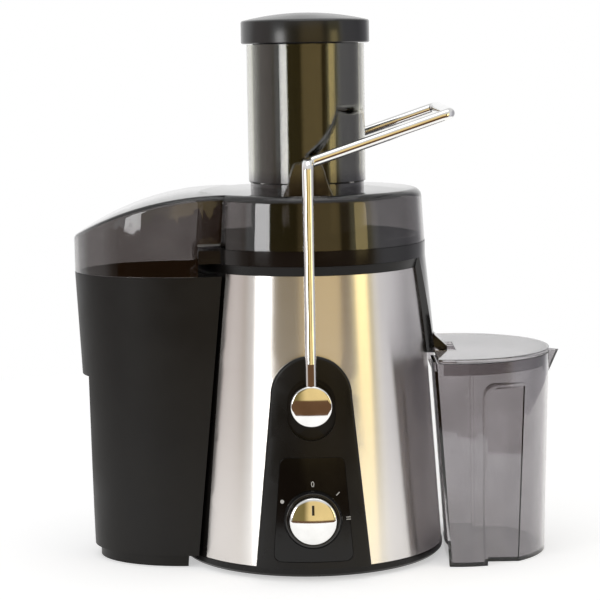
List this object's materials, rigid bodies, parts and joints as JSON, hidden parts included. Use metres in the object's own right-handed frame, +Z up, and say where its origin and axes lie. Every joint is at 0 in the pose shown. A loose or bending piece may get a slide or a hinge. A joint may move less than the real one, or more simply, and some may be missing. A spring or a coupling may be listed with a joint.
{
  "type": "centrifugal juicer",
  "caption": "Countertop centrifugal juicer: conical steel-clad body, smoked lid with feed tube and pusher, locking arm, pulp bin, juice jug and rotary dial.",
  "frame": {"origin": "on the table plane, under the motor axis", "axes": "+Z up, +X towards the jug, -Y towards the dial"},
  "size_m": [0.3375, 0.2037, 0.3769],
  "materials": {
    "black_abs": "satin",
    "gloss_black_abs": "gloss",
    "brushed_stainless": "brushed",
    "chrome": "polished",
    "smoked_clear": "gloss",
    "smoked_jug": "gloss",
    "pale_lid": "satin",
    "rubber": "matte",
    "stainless_mesh": "satin",
    "motor_steel": "satin",
    "copper": "satin",
    "zinc_steel": "satin",
    "grey_nylon": "matte",
    "carbon": "matte"
  },
  "bodies": {
    "base": {"base_plate": "black_abs", "rubber_feet": "rubber", "base_screws": "zinc_steel", "body_housing": "black_abs", "front_steel_skin": "brushed_stainless", "rear_steel_skin": "brushed_stainless", "front_panel": "black_abs", "rear_panel": "black_abs", "dial_plate": "gloss_black_abs", "rotary_switch": "grey_nylon", "cord_gland": "rubber", "rear_latch_spring": "zinc_steel", "front_latch_spring": "zinc_steel", "interlock_switch": "black_abs", "juice_bowl": "gloss_black_abs", "lid": "smoked_clear", "stator_core": "motor_steel", "field_coils": "copper", "upper_motor_bracket": "zinc_steel", "lower_motor_bracket": "zinc_steel", "upper_bearing": "copper", "lower_bearing": "copper", "brush_holders": "copper", "carbon_brushes": "carbon", "motor_mounts": "rubber", "motor_screws": "zinc_steel", "shaft_seal": "rubber"},
    "latch": {"front_latch_carriage": "grey_nylon", "rear_latch_carriage": "grey_nylon"},
    "arm": {"locking_arm": "chrome", "front_pivot_disc": "chrome", "rear_pivot_disc": "chrome", "pivot_clips": "zinc_steel"},
    "knob": {"knob_skirt": "gloss_black_abs", "knob_cap": "chrome", "knob_stem": "grey_nylon"},
    "pusher": {"pusher_tube": "smoked_clear", "pusher_cap": "black_abs"},
    "rotor": {"motor_shaft": "zinc_steel", "armature_core": "motor_steel", "armature_winding": "copper", "commutator": "copper", "cooling_fan": "grey_nylon", "drive_coupling": "grey_nylon", "basket_base": "black_abs", "filter_sieve": "stainless_mesh", "basket_rim": "black_abs", "grating_disc": "stainless_mesh"},
    "jug": {"juice_jug": "smoked_jug"},
    "jug_cover": {"jug_lid": "pale_lid"},
    "bin": {"pulp_bin": "black_abs"}
  },
  "joints": [
    {"name": "latch_drop", "type": "slide", "parent": "base", "child": "latch", "axis": [0, 0, 1], "range_m": [-0.008, 0], "deforming": ["front_latch_spring", "rear_latch_spring"]},
    {"name": "arm_swing", "type": "hinge", "parent": "latch", "child": "arm", "pos_m": [0, 0, 0.118], "axis": [0, 1, 0], "range_deg": [0, 45]},
    {"name": "knob_turn", "type": "hinge", "parent": "base", "child": "knob", "pos_m": [0, -0.08925, 0.0417], "axis": [0, 0.9978, -0.0665], "range_deg": [-60, 90]},
    {"name": "pusher_lift", "type": "slide", "parent": "base", "child": "pusher", "axis": [0, 0, 1], "range_m": [0, 0.17]},
    {"name": "rotor_spin", "type": "hinge", "parent": "base", "child": "rotor", "pos_m": [0, 0, 0.1], "axis": [0, 0, 1], "continuous": true},
    {"name": "jug_slide", "type": "slide", "parent": "base", "child": "jug", "axis": [1, 0, 0], "range_m": [0, 0.12]},
    {"name": "jug_lid_lift", "type": "slide", "parent": "jug", "child": "jug_cover", "axis": [0, 0, 1], "range_m": [0, 0.025]},
    {"name": "bin_slide", "type": "slide", "parent": "base", "child": "bin", "axis": [-1, 0, 0], "range_m": [0, 0.12]}
  ],
  "couplings": [
    {"joint": "latch_drop", "follows": "arm_swing", "m_per_rad": -0.0101}
  ]
}
